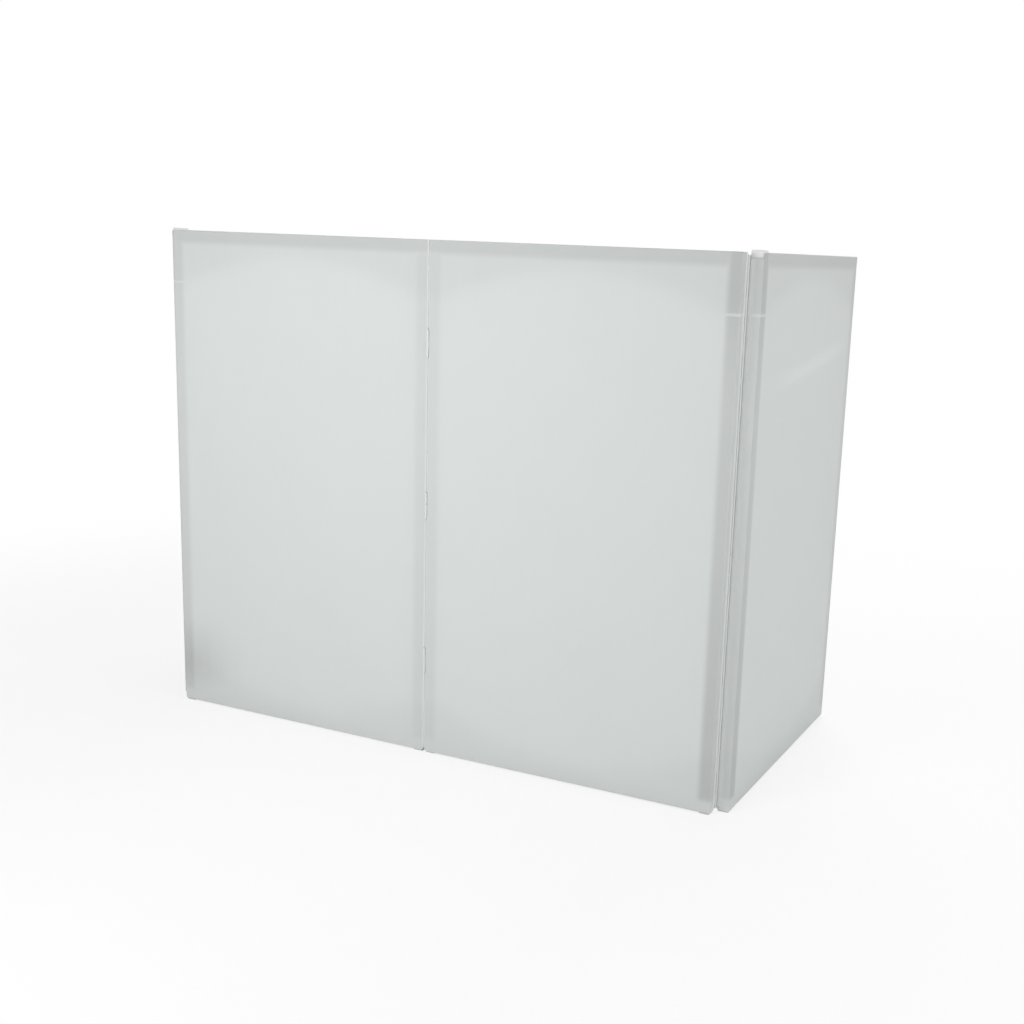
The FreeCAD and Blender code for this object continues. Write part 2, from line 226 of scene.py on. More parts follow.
@dataclass(frozen=True)
class Layer:
    """A noise pattern in a finish, and what it does to its colour, roughness, metal and relief.

    The noise can be scaled along Z, stepped, evened out, and faded out from the floor up to a top.
    """

    scale: float
    detail: float = 2.0
    z_scale: float = 1.0
    step: Optional[Pair] = None
    even: float = 0.0
    patchy: float = 1.0
    top: float = 0.0
    colour: Optional[Paint] = None
    cover: float = 1.0
    rough: float = 0.0
    metal: float = 0.0
    relief: float = 0.0

    def amount(self, recipe: Recipe) -> Signal:
        """The pattern's strength at each place.

        Args:
            recipe: The nodes to add to.

        Returns:
            The strength, from 0 to 1.
        """
        at = recipe.place()
        amount = recipe.noise(recipe.stretched(at, (1.0, 1.0, self.z_scale)), self.scale, self.detail)
        if self.step:
            amount = amount.rise(*self.step)
        if self.even:
            amount = self.even + self.patchy * amount
        if self.top:
            amount = recipe.along(at, "Z").rise(self.top, 0.0) * amount
        return amount


@dataclass(frozen=True)
class Finish:
    """A finish of the frame's own pieces: one colour, changed by layers in their order."""

    name: str
    colour: Colour
    roughness: float
    relief_height: float
    layers: tuple[Layer, ...]
    relief_strength: float = 1.0
    metallic: float = 0.0
    specular: float = 0.5

    def make(self) -> bpy.types.Material:
        """Build the material.

        Returns:
            The material.
        """
        recipe = Recipe(bpy.data.materials.new(self.name))
        colour = rgba(self.colour)
        sums = {"rough": self.roughness, "metal": self.metallic, "relief": 0.0}
        for layer in self.layers:
            amount = layer.amount(recipe)
            if layer.colour:
                colour = recipe.blend(amount * layer.cover, colour, layer.colour)
            for kind in sums:
                share = getattr(layer, kind)
                if share:
                    sums[kind] = sums[kind] + share * amount
        return recipe.finished(
            {
                "Base Color": colour,
                "Metallic": sums["metal"],
                "Roughness": sums["rough"],
                "Specular IOR Level": self.specular,
                "Normal": recipe.bump(sums["relief"], self.relief_height, self.relief_strength),
            }
        )


@dataclass(frozen=True)
class SeamThread:
    """White polyester sewing thread, with its twist as fine slanting ridges and painted shade in the grooves
    between them.
    """

    name: str
    colour: Colour
    twist_scale: float = 2200.0
    twist_height: float = 0.0001
    twist_strength: float = 0.6
    twist_shade: float = 0.86

    def make(self) -> bpy.types.Material:
        """Build the material.

        Returns:
            The material.
        """
        recipe = Recipe(bpy.data.materials.new(self.name))
        at = recipe.place()
        slant = recipe.along(at, "X") + recipe.along(at, "Y") + recipe.along(at, "Z")
        # The twist's ridges, with the grooves between them painted darker as shade.
        twist = 0.5 + 0.5 * (slant * self.twist_scale).sine()
        return recipe.finished(
            {
                "Base Color": recipe.blend(twist, scaled(self.colour, self.twist_shade), rgba(self.colour)),
                "Roughness": 0.62,
                "Sheen Weight": 0.2,
                "Normal": recipe.bump(twist, self.twist_height, self.twist_strength),
            }
        )


@dataclass(frozen=True)
class CoverCut:
    """How a cover is cut and sewn. The rear flaps are deep at the posts and scalloped between them."""

    flap_depth: float = 0.050
    pocket_depth: float = 0.125
    pocket_reach: float = 0.038
    leaf_room: float = 0.0215
    return_depth: float = 0.0274
    corner: float = 0.008
    edge: float = 0.003
    tight_edge: float = 0.0012
    hem: float = 0.009
    hem_ramp: float = 0.001
    hem_rise: float = 0.0005
    cap_reach: float = 0.030
    bare_post: float = 0.007
    hinge_half: float = 0.030
    notch_room: float = 0.0006
    notch_depth: float = 0.021
    notch_setback: float = 0.0005
    bead: float = 0.0017
    bead_from: float = -0.0010
    bead_to: float = 0.0050

    def drop_at(self, x: Array, width: float) -> Array:
        """How far a rear flap reaches from its edge.

        Between the posts the lower edge is the arc of a circle through both pockets' inner ends and the
        shallow middle: the middle's depth plus the circle's rise, up to the pockets' depth.

        Args:
            x: Distances from the panel's left end.
            width: The panel's width.

        Returns:
            The reach at each distance.
        """
        radius = self.arc_radius(width)
        off = np.minimum(np.abs(x - width / 2), radius)
        return self.flap_depth + np.minimum(radius - np.sqrt(radius**2 - off**2), self.sag)

    @property
    def sag(self) -> float:
        """How much deeper a flap is at the posts than in its middle."""
        return self.pocket_depth - self.flap_depth

    def arc_radius(self, width: float) -> float:
        """The radius of the scallop: half the chord squared plus the sag squared, over twice the sag."""
        half = width / 2 - self.pocket_reach
        return (half**2 + self.sag**2) / (2 * self.sag)


@dataclass(frozen=True)
class PanelFrame:
    """A panel's place and sizes, read from its posts and the cover that the frame holds."""

    origin: Array
    axes: Array
    width: float
    tube: float
    stand_off: float
    cloth: float
    foot: float
    head: float
    post_top: float

    @classmethod
    def read(cls, name: str, facing: Facing, posts: tuple[str, str]) -> "PanelFrame":
        """Read a panel from the frame.

        Args:
            name: The panel's name.
            facing: The way it faces.
            posts: The last parts of its posts' names.

        Returns:
            The panel's place and sizes.
        """
        boxes = np.array([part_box(f"{name}_{post}") for post in posts])
        low, high = boxes[:, 0].min(axis=0), boxes[:, 1].max(axis=0)
        sheet_low, sheet_high = np.array(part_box(f"{name}_cover_sheet"))
        turn = math.radians(facing.value)
        cosine, sine = math.cos(turn), math.sin(turn)
        left = low[0] if cosine - sine > 0 else high[0]
        front = low[1] if sine + cosine > 0 else high[1]
        return cls(
            origin=np.array([left, front, 0.0]),
            axes=np.array([[cosine, -sine, 0.0], [sine, cosine, 0.0], [0.0, 0.0, 1.0]]),
            width=float((high - low)[:2].max()),
            tube=float((high - low)[:2].min()),
            stand_off=float(low[2] - sheet_low[2]),
            cloth=float((sheet_high - sheet_low)[:2].min()),
            foot=float(sheet_low[2]),
            head=float(sheet_high[2]),
            post_top=float(high[2]),
        )

    def to_booth(self, points: Array) -> Array:
        """Turn points about Z and move them from the panel's axes to the booth's."""
        return points @ self.axes.T + self.origin

    @property
    def low(self) -> Array:
        """The lowest corner of the cover's box."""
        return np.array([-self.stand_off, -self.stand_off, self.foot])

    @property
    def high(self) -> Array:
        """The highest corner of the cover's box."""
        return np.array([self.width + self.stand_off, self.tube + self.stand_off, self.head])


@dataclass(frozen=True)
class PulledFold:
    """One long soft fold between two points of a panel, with a painted highlight along its line where it
    would catch the light.
    """

    start: Pair
    end: Pair
    height: float
    half_width: float
    fade: float = 0.3
    highlight_reach: float = 2.2

    def measured(self, x: Spread, z: Spread, step: Callable[..., Spread]) -> tuple[Spread, Spread]:
        """Split the way from the fold's start into a part along its line and a part across it.

        Args:
            x: Distances from the panel's left end.
            z: Heights.
            step: A smooth step for such values.

        Returns:
            1 between the ends, fading to 0 at both, and the distance across.
        """
        run = np.subtract(self.end, self.start)
        length = float(np.hypot(*run))
        ahead, aside = (float(part) for part in run / length)
        x, z = x - self.start[0], z - self.start[1]
        along = x * ahead + z * aside
        ends = step(along, 0.0, self.fade * length) * step(along, length, (1.0 - self.fade) * length)
        return ends, z * ahead - x * aside

    def rise(self, x: Array, z: Array) -> Array:
        """How far the cloth stands out: a bell across the fold's line, fading out towards both ends."""
        ends, across = self.measured(x, z, smooth)
        return self.height * ends * np.exp(-((across / self.half_width) ** 2))

    def painted_highlight(self, u: Signal, v: Signal) -> Signal:
        """Where the fold's painted highlight lies: 1 on its line, less across it and towards both ends."""
        ends, across = self.measured(u, v, Signal.rise)
        return ends * abs(across).rise(self.highlight_reach * self.half_width, 0.0)


@dataclass(frozen=True)
class Tension:
    """How the cloth of one panel's front departs from a plane."""

    seed: int
    folds: tuple[PulledFold, ...] = ()
    tube_blend: float = 0.035
    broad: float = 0.0016
    broad_waves: int = 5
    broad_lengths: Pair = (0.2, 0.5)
    fan: float = 0.0006
    fan_count: float = 15.0
    fan_reach: float = 0.15
    fan_start: Pair = (0.03, 0.09)
    hollow: float = 0.0006
    welt: float = 0.0008
    welt_half: float = 0.0032
    welt_past_tube: float = 0.016
    welt_from_edge: float = 0.004

    def height(self, x: Array, z: Array, cover: "PanelCover") -> Array:
        """How far the cloth stands out of the plane of its front.

        Clear of the tubes it lies a little hollow, with a few broad waves, a fan of small folds that
        spreads from each corner and dies away as a bell, and the long folds. On the posts at a corner the
        lower end of the top pocket lifts it in a narrow welt. It is 0 all round the edge.

        Args:
            x: Distances from the panel's left end.
            z: Heights.
            cover: The cover.

        Returns:
            The height at each point.
        """
        panel = cover.panel
        draw = np.random.default_rng(self.seed)
        side = np.minimum(x, panel.width - x) + panel.stand_off
        rim = np.minimum(z - panel.foot, panel.head - z)
        free = smooth(np.minimum(side, rim), panel.tube, panel.tube + self.tube_blend)
        angle = draw.uniform(0.0, math.pi, self.broad_waves)
        length = draw.uniform(*self.broad_lengths, self.broad_waves)
        phase = draw.uniform(0.0, math.tau, self.broad_waves)
        travel = x[..., None] * np.cos(angle) + z[..., None] * np.sin(angle)
        broad = np.sin(math.tau * travel / length + phase).mean(axis=-1)
        quarter = 2 * (x > panel.width / 2).astype(int) + (z > (panel.foot + panel.head) / 2)
        reach = np.hypot(side, rim)
        spread = np.sin(self.fan_count * np.arctan2(rim, side) + draw.uniform(0.0, math.tau, 4)[quarter])
        spread = spread * np.exp(-((reach / self.fan_reach) ** 2)) * smooth(reach, *self.fan_start)
        height = free * (self.broad * broad + self.fan * spread - self.hollow)
        for fold in self.folds:
            height = height + free * fold.rise(x, z)
        seat = np.exp(-(((z - panel.head + cover.cut.pocket_depth) / self.welt_half) ** 2))
        for kind, off in zip(cover.ends, (x, panel.width - x)):
            if kind is End.CORNER:
                on_post = smooth(off, panel.tube + self.welt_past_tube, panel.tube)
                height = height + self.welt * seat * (on_post * smooth(off, 0.0, self.welt_from_edge))
        return height


def smooth(value: Array, start: float, end: float) -> Array:
    """A step from 0 at start to 1 at end along 3t^2 - 2t^3, in either direction."""
    share = np.clip((value - start) / (end - start), 0.0, 1.0)
    return share * share * (3.0 - 2.0 * share)


def graded(marks: Array, step: float) -> Array:
    """Sorted marks, with even ones added wherever two are more than a step apart.

    Args:
        marks: The values that have to be there.
        step: The widest spacing.

    Returns:
        The values.
    """
    kept = np.unique(np.round(marks, MARK_DIGITS))
    kept = kept[np.append(True, np.diff(kept) > LEAST_STEP)]
    counts = np.ceil(np.diff(kept) / step).astype(int)
    spans = [np.linspace(a, b, n + 1)[1:] for a, b, n in zip(kept[:-1], kept[1:], counts)]
    return np.concatenate([kept[:1], *spans])


def joined(*axes: Union[Array, float]) -> Array:
    """Points from their coordinates, each an array or one value for all."""
    return np.stack(np.broadcast_arrays(*axes), axis=-1)


def inside(values: Array, low: float, high: float) -> Array:
    """Whether each value lies between two."""
    return (values > low) & (values < high)


def middles(values: Array) -> Array:
    """The middle of each cell of a grid."""
    return (values[:-1, :-1] + values[1:, :-1] + values[1:, 1:] + values[:-1, 1:]) / 4


@dataclass(frozen=True)
class Patch:
    """A grid of points with its flat coordinates and the cells that are kept.

    A cell's corners run round it from the first axis to the second, or the other way if it is flipped.
    """

    points: Array
    flat: Array
    keep: Array
    flip: bool


def sewn(name: str, patches: list[Patch]) -> tuple[bpy.types.Mesh, float]:
    """Join patches into one mesh wherever their points coincide, with the flat coordinates as UV.

    Args:
        name: The mesh's name.
        patches: The patches.

    Returns:
        The mesh, and the flat area of the cloth in it.
    """
    starts = np.cumsum([0] + [patch.points[..., 0].size for patch in patches])
    cells = []
    for start, patch in zip(starts, patches):
        index = start + np.arange(patch.points[..., 0].size).reshape(patch.points.shape[:2])
        corners = [index[:-1, :-1], index[1:, :-1], index[1:, 1:], index[:-1, 1:]]
        quads = np.stack(corners, axis=-1)[patch.keep]
        cells.append(quads[:, ::-1] if patch.flip else quads)
    quads = np.concatenate(cells)
    points = np.concatenate([patch.points.reshape(-1, 3) for patch in patches])
    flat = np.concatenate([patch.flat.reshape(-1, 2) for patch in patches])
    grid = np.round(points / WELD).astype(np.int64)
    first, owner = np.unique(grid, axis=0, return_index=True, return_inverse=True)[1:]
    used, faces = np.unique(owner.ravel()[quads], return_inverse=True)
    mesh = bpy.data.meshes.new(name)
    mesh.from_pydata(points[first][used].tolist(), [], faces.reshape(-1, 4).tolist())
    mesh.uv_layers.new(name="cut").data.foreach_set("uv", flat[quads].ravel())
    mesh.polygons.foreach_set("use_smooth", np.ones(len(quads), bool))
    mesh.update()
    u, v = np.moveaxis(flat[quads], -1, 0)
    turn = u * np.roll(v, -1, axis=1) - v * np.roll(u, -1, axis=1)
    return mesh, float(np.abs(turn.sum(axis=1)).sum() / 2)


def shown(data: bpy.types.ID) -> bpy.types.Object:
    """Put a mesh, a camera or a lamp into the scene, at the origin, as an object of the same name.

    Args:
        data: The mesh, camera or lamp.

    Returns:
        The object.
    """
    made = bpy.data.objects.new(data.name, data)
    bpy.context.scene.collection.objects.link(made)
    return made


@dataclass(frozen=True)
class StretchKnit:
    """White stretch knit, thin enough that tubes and second layers show through as soft darker shapes: partly
    through its Translucent shader, partly as shade painted into its colour.
    """

    name: str
    colour: Colour
    shade: Colour
    # The pale colour of the painted light at the seams and along folds.
    painted_light: Colour
    through: float = 0.17
    wale: float = 0.0012
    course: float = 0.0010
    loop_bend: float = 2.2
    loop_depth: float = 0.45
    knit_height: float = 0.00012
    knit_strength: float = 0.35
    # Strengths of the painted shade of tubes and second layers, and where it is lifted or deepened.
    top_rail_shade: float = 0.44
    foot_rail_shade: float = 0.02
    return_light: float = 0.4
    painted_light_start: float = -0.5
    end_shade: float = 0.6
    end_shade_from: float = 0.75
    end_shade_to: Pair = (0.1, 0.95)
    top_layer_shade: float = 0.105
    foot_layer_shade: float = 0.085
    layer_blur: float = 0.022
    welt_glow: float = 0.9
    welt_step: Pair = (0.0045, 0.0015)
    cloud: float = 0.10
    cloud_scale: float = 5.0
    cloud_detail: float = 3.0
    cloud_mean: float = 0.75
    streak: float = 0.5
    streak_scale: Place = (70.0, 3.0, 1.0)
    # Where the painted shade patch low at the left end of the front reaches, and how patchy it is.
    corner_shade_reach: float = 0.22
    corner_shade_low: float = 0.11
    corner_shade_top: float = 0.25
    corner_shade_even: float = 0.4
    corner_shade_patchy: float = 0.8
    band_blur: float = 0.009
    face_blur: float = 0.004
    fold_highlight: float = 0.30

    def make(self, cover: "PanelCover") -> bpy.types.Material:
        """Build the material for one panel's cover, from the flat coordinates of its cloth.

        Args:
            cover: The cover.

        Returns:
            The material.
        """
        panel, cut = cover.panel, cover.cut
        recipe = Recipe(bpy.data.materials.new(self.name))
        flat = recipe.signal("UVMap", {}, uv_map="cut")
        u, v = recipe.along(flat, "X"), recipe.along(flat, "Y")
        shade = self.shading(u, v, cover)
        # Painted shade: a patchy darker patch low at the left end of the front, as strong as the cover sets
        # it.
        corner_shade_mask = u.rise(self.corner_shade_reach, 0.0) * v.rise(self.corner_shade_top, self.corner_shade_low)
        corner_shade_mask = corner_shade_mask * v.rise(panel.foot, self.corner_shade_low)
        streaks = recipe.noise(recipe.stretched(flat, self.streak_scale), 1.0)
        cloud = recipe.noise(flat, self.cloud_scale, self.cloud_detail) + self.streak * streaks
        painted_corner_shade = cover.painted_corner_shade * corner_shade_mask * (self.corner_shade_even + self.corner_shade_patchy * cloud)
        shade = shade + self.cloud * (cloud - self.cloud_mean) + painted_corner_shade
        colour = recipe.blend(shade.most(0.0).least(1.0), rgba(self.colour), rgba(self.shade))
        # Painted light: paler at the edge of a centre seam, standing in for the light in the seam, and over
        # the rear half of other ends' returns, lifting the shade in the corner groove.
        for kind, end in zip(cover.ends, (u, panel.width - u)):
            whole = panel.stand_off if kind is End.CENTRE else cut.return_depth
            start = 0.0 if kind is End.CENTRE else self.painted_light_start * cut.return_depth
            colour = recipe.blend(end.rise(start, -whole), colour, rgba(self.painted_light))
        # Painted highlight along each long fold, standing in for the light on its lit side.
        for fold in cover.tension.folds:
            colour = recipe.blend(self.fold_highlight * fold.painted_highlight(u, v), colour, rgba(self.painted_light))
        knit = recipe.bump(self.knitting(u, v), self.knit_height, self.knit_strength)
        front = recipe.signal(
            "BsdfPrincipled",
            {
                "Base Color": colour,
                "Roughness": 0.85,
                "Specular IOR Level": 0.2,
                "Sheen Weight": 0.08,
                "Sheen Roughness": 0.5,
                "Normal": knit,
            },
        )
        behind = recipe.signal("BsdfTranslucent", {"Color": colour, "Normal": knit})
        recipe.shade(recipe.signal("MixShader", {0: self.through, 1: front, 2: behind}))
        return recipe.owner

    def knitting(self, u: Signal, v: Signal) -> Signal:
        """The height of the knit: rounded columns of loops, each row bent into the next.

        Args:
            u: Flat coordinate along the panel's width.
            v: Flat coordinate up the panel.

        Returns:
            The height, from 0 to 1.
        """
        column = abs((u * (math.pi / self.wale)).sine())
        loop = 0.5 + 0.5 * (v * (math.tau / self.course) + self.loop_bend * column).sine()
        return column * ((1.0 - self.loop_depth) + self.loop_depth * loop)

    def shading(self, u: Signal, v: Signal, cover: "PanelCover") -> Signal:
        """The shade painted into the cloth where something behind it holds back light: tubes, and the flaps'
        second layer.

        Args:
            u: Flat coordinate along the panel's width.
            v: Flat coordinate up the panel.
            cover: The cover.

        Returns:
            The painted shade, 0 where nothing lies behind.
        """
        panel, cut = cover.panel, cover.cut
        foot, head, blur = panel.foot, panel.head, self.band_blur
        on_face = v.rise(foot - self.face_blur, foot) * v.rise(head + self.face_blur, head)
        from_top, from_foot = head - v, v - foot
        off = abs(u - panel.width / 2)
        radius = cut.arc_radius(panel.width)
        arc = radius - (radius**2 - (off * off).least(radius**2)).root()
        drop = cut.flap_depth + arc.least(cut.sag)
        edges = (from_top, from_foot)
        top_layer, foot_layer = ((edge - drop).rise(self.layer_blur, -self.layer_blur) for edge in edges)
        rim = panel.tube + panel.stand_off
        top_rail, foot_rail = (edge.rise(rim + blur, rim - blur) for edge in edges)
        # Painted shade of the posts: a band on each end's post, lifted on a corner's return, deeper towards
        # the bottom and the top.
        posts = 0.0
        for kind, post_shade_level, end in zip(cover.ends, cover.post_shade_levels, (u, panel.width - u)):
            post = post_shade_level * end.rise(panel.tube + blur, panel.tube - blur)
            if kind is End.CORNER:
                # Painted light: the band is lighter on a thin line where the welt lifts the cloth off the
                # tube.
                on_welt = abs(from_top - cut.pocket_depth).rise(*self.welt_step)
                post = post * (1.0 - self.welt_glow * on_welt)
                post = post * (1.0 - self.return_light * end.rise(0.0, -cut.edge))
            if kind is End.CENTRE:
                post = post * end.rise(-panel.stand_off, 2 * panel.stand_off)
            posts = post + posts
        lower, upper = (v.rise(self.end_shade_from * head, to * head) for to in self.end_shade_to)
        posts = posts * (1.0 + self.end_shade * lower.most(upper)) * (1.0 - foot_rail)
        # Painted shade of the rails, and of the flaps' second layer below the top and above the foot.
        tubes = posts.most((self.top_rail_shade * top_rail).most(self.foot_rail_shade * foot_rail))
        layers = (self.top_layer_shade * top_layer).most(self.foot_layer_shade * foot_layer)
        return on_face * (tubes + layers)


@dataclass(frozen=True)
class Stitching:
    """Rows of sewn stitches, sunk a little into the cloth. Each is a short round thread with pointed ends."""

    pitch: float = 0.0042
    length: float = 0.0034
    radius: float = 0.00042
    sunk: float = 0.0001
    sides: int = 6
    rings: int = 4
    row_steps: int = 1600

    def stitch(self) -> tuple[Array, Array, Array]:
        """One stitch along X with its outer side towards Z: rings between two points.

        A ring's place along it goes with the cosine of its turn, its radius with the root of the sine.

        Returns:
            The points, the walls of four and the caps of three of their numbers.
        """
        turn = np.linspace(0.0, math.pi, self.rings + 2)[1:-1, None]
        round_ = np.arange(self.sides)[None, :] * math.tau / self.sides
        body = np.sqrt(np.sin(turn)) * self.radius
        rings = joined(-np.cos(turn) * self.length / 2, body * np.cos(round_), body * np.sin(round_))
        tips = np.array([[-self.length / 2, 0.0, 0.0], [self.length / 2, 0.0, 0.0]])
        number = np.arange(self.rings * self.sides).reshape(self.rings, self.sides)
        after = np.roll(number, -1, axis=1)
        walls = joined(number[:-1], number[1:], after[1:], after[:-1]).reshape(-1, 4)
        caps = [joined(number.size, number[0], after[0]), joined(number.size + 1, after[-1], number[-1])]
        return np.concatenate([rings.reshape(-1, 3), tips]), walls, np.concatenate(caps)

    def row(self, line: Array, outward: Array) -> Array:
        """Places for the stitches of one row, evenly spaced along a line.

        Args:
            line: Points along the row.
            outward: The direction that the cloth faces there.

        Returns:
            For each stitch its middle, its direction and the cloth's direction.
        """
        travel = np.append(0.0, np.cumsum(np.linalg.norm(np.diff(line, axis=0), axis=1)))
        count = int(travel[-1] / self.pitch)
        at = (np.arange(count) + 0.5) * travel[-1] / count
        middle, slope = (
            joined(*(np.interp(at, travel, axis) for axis in values.T))
            for values in (line, np.gradient(line, axis=0))
        )
        slope = slope / np.linalg.norm(slope, axis=1, keepdims=True)
        return np.stack([middle, slope, np.broadcast_to(outward, slope.shape)], axis=1)

    def mesh(self, name: str, places: Array, panel: PanelFrame) -> bpy.types.Mesh:
        """All stitches of a cover as one mesh.

        Args:
            name: The mesh's name.
            places: The stitches' places, as row gives them.
            panel: The panel that they are on.

        Returns:
            The mesh.
        """
        shape, walls, caps = self.stitch()
        middle, along, outward = np.moveaxis(places, 1, 0)[:, :, None]
        ahead, aside, out = shape.T[:, None, :, None]
        points = middle - self.sunk * outward + ahead * along
        points = points + aside * np.cross(outward, along) + out * outward
        shift = (np.arange(len(places)) * len(shape))[:, None, None]
        every = (walls + shift).reshape(-1, 4).tolist() + (caps + shift).reshape(-1, 3).tolist()
        mesh = bpy.data.meshes.new(name)
        mesh.from_pydata(panel.to_booth(points.reshape(-1, 3)).tolist(), [], every)
        mesh.polygons.foreach_set("use_smooth", np.ones(len(every), bool))
        mesh.update()
        return mesh


@dataclass(frozen=True)
class PanelCover:
    """The stretch cover of one panel: its front, the strips over and under the rails, the end returns and
    the rear flaps, sewn into one piece, and the stitches along its hems."""

    name: str
    facing: Facing
    posts: tuple[str, str]
    ends: tuple[End, End]
    domed: tuple[bool, bool]
    # How much painted shade each end's post puts on the cloth.
    post_shade_levels: Pair
    tension: Tension
    cut: CoverCut = CoverCut()
    stitching: Stitching = Stitching()
    flare: float = 0.0010
    flare_length: float = 0.11
    flare_blend: float = 0.06
    hem_rows: Pair = (0.0025, 0.0065)
    # How strong the painted shade patch low at the left end of the front is.
    painted_corner_shade: float = 0.0
    mesh_step: float = 0.0066
    corner_steps: int = 7
    edge_steps: int = 4
    bead_steps: int = 7
    welt_steps: int = 9
    flap_steps: int = 11

    @property
    def panel(self) -> PanelFrame:
        """The panel's place and sizes."""
        return PanelFrame.read(self.name, self.facing, self.posts)

    def rounded(self, sharp: Array) -> Array:
        """Round the edges of the cover's box.

        Each point of the sharp box goes to the nearest point of a box that is smaller by the edge's radius
        all round, and from there out again by the radius, towards where it was. The radius runs evenly from
        one end's to the other's, which is tight where two front panels meet.

        Args:
            sharp: Points on the sharp box.

        Returns:
            The points on the rounded box.
        """
        cut, panel = self.cut, self.panel
        radii = [cut.tight_edge if kind is End.CENTRE else cut.edge for kind in self.ends]
        radius = np.interp(sharp[..., :1], [panel.low[0], panel.high[0]], radii)
        core = np.clip(sharp, panel.low + radius, panel.high - radius)
        out = sharp - core
        return core + out * (radius / np.linalg.norm(out, axis=-1, keepdims=True))

    def quarter(self) -> Array:
        """Distances from an edge at which a round corner has its points: the radius times 1 - cos."""
        return self.cut.corner * (1.0 - np.cos(np.linspace(0.0, math.pi / 2, self.corner_steps)))

    def near_edge(self) -> Array:
        """The first few of those distances, for the rows beside a round edge."""
        return self.quarter()[: self.edge_steps]

    def columns(self) -> Array:
        """The X of the grid's columns: close at both ends, where edges and corners are round.

        Returns:
            The distances from the panel's left end.
        """
        cut, panel = self.cut, self.panel
        marks = np.array([cut.leaf_room, panel.tube, cut.cap_reach, cut.pocket_reach])
        near = np.concatenate([self.quarter() - panel.stand_off, marks])
        return graded(np.concatenate([near, panel.width - near]), self.mesh_step)

    def depths(self) -> Array:
        """The Y of the grid's rows across a strip or along a return.

        Returns:
            The distances back from the front of the tubes.
        """
        low, high = self.panel.low[1], self.panel.high[1]
        bead = np.linspace(self.cut.bead_from, self.cut.bead_to, self.bead_steps)
        marks = [low + self.near_edge(), bead, [self.cut.return_depth], high - self.near_edge()]
        return graded(np.concatenate(marks), self.mesh_step)

    def heights(self) -> Array:
        """The rows up the front: close at the edges and the welt, and at each end of a pocket or notch.

        Returns:
            Shares of the way from the front's lower edge to its top.
        """
        cut, panel = self.cut, self.panel
        span = panel.head - panel.foot
        welt = span - cut.pocket_depth + self.tension.welt_half * np.linspace(-2.0, 2.0, self.welt_steps)
        tubes = [cut.edge + panel.tube, span - panel.tube]
        front = np.concatenate([self.near_edge(), tubes, welt, span - self.near_edge()]) / span
        start = panel.foot + cut.corner
        ends = [panel.post_top - cut.bare_post, panel.head - cut.pocket_depth, panel.foot + cut.pocket_depth]
        ends += [edge for notch in self.notches() for edge in notch]
        ends = (np.array(ends) - start) / (panel.head - start)
        return graded(np.concatenate([front, ends]), self.mesh_step / span)

    def notches(self) -> list[Pair]:
        """The places where the cover is open round the centre hinges.

        Returns:
            The lowest and highest Z of each.
        """
        low, high = (corner[2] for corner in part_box(CENTRE_HINGE))
        half = self.cut.hinge_half
        reach = half + self.cut.notch_room
        return [(middle - reach, middle + reach) for middle in (low + half, (low + high) / 2, high - half)]

    def in_notch(self, z: Array) -> Array:
        """Whether each height lies in a notch."""
        return np.any([inside(z, low, high) for low, high in self.notches()], axis=0)

    def front_heights(self, x: Array) -> Array:
        """The Z of the front's rows at each X: from the lower edge, whose corners are round, to the top.

        In a corner the lower edge rises as radius minus the root of radius squared less distance squared.

        Args:
            x: The X of the columns.

        Returns:
            A row of heights for each column.
        """
        panel, radius = self.panel, self.cut.corner
        off = np.clip(radius - np.minimum(x - panel.low[0], panel.high[0] - x), 0.0, radius)
        start = panel.foot + radius - np.sqrt(radius**2 - off**2)
        return start[:, None] + (panel.head - start)[:, None] * self.heights()[None, :]

    def front(self) -> Patch:
        """The front: a grid in X and Z on the plane of the outer side, moved out by the cloth's tension.

        Returns:
            The patch.
        """
        panel = self.panel
        x = self.columns()
        z = self.front_heights(x)
        x = np.broadcast_to(x[:, None], z.shape)
        points = self.rounded(joined(x, panel.low[1], z))
        points[..., 1] -= self.tension.height(x, z, self)
        keep = np.ones(np.subtract(z.shape, 1), bool)
        for kind, off in zip(self.ends, (x, panel.width - x)):
            if kind is End.CENTRE:
                keep &= ~((middles(off) < self.cut.notch_setback) & self.in_notch(middles(z)))
        return Patch(points, joined(x, z), keep, False)

    def end_return(self, right: bool) -> Patch:
        """The return round one end: a grid in Y and Z on the end's plane.

        It is open round the centre hinges and a domed cap, and reaches the rear flap only at a pocket.
        Where two front panels meet, its seam is a bead, the root of half a sine wave across.

        Args:
            right: Whether it is the right end, seen from outside.

        Returns:
            The patch.
        """
        panel, cut = self.panel, self.cut
        kind = self.ends[right]
        end = panel.high[0] if right else panel.low[0]
        y, z = np.meshgrid(self.depths(), self.front_heights(np.array([end]))[0], indexing="ij")
        points = self.rounded(joined(end, y, z))
        if kind is End.CENTRE:
            across = (y - cut.bead_from) / (cut.bead_to - cut.bead_from)
            bead = cut.bead * np.sin(math.pi * np.clip(across, 0.0, 1.0)) ** 0.5
            points[..., 0] += bead if right else -bead
        middle_y, middle_z = middles(y), middles(z)
        keep = middle_y < cut.return_depth
        if kind is not End.CORNER:
            keep |= np.minimum(middle_z - panel.foot, panel.head - middle_z) < cut.pocket_depth
        if kind is End.CENTRE:
            keep &= ~((middle_y < cut.notch_depth) & self.in_notch(middle_z))
        if self.domed[right]:
            keep &= middle_z < panel.post_top - cut.bare_post
        wrapped = y - panel.low[1]
        return Patch(points, joined(end + wrapped if right else end - wrapped, z), keep, not right)

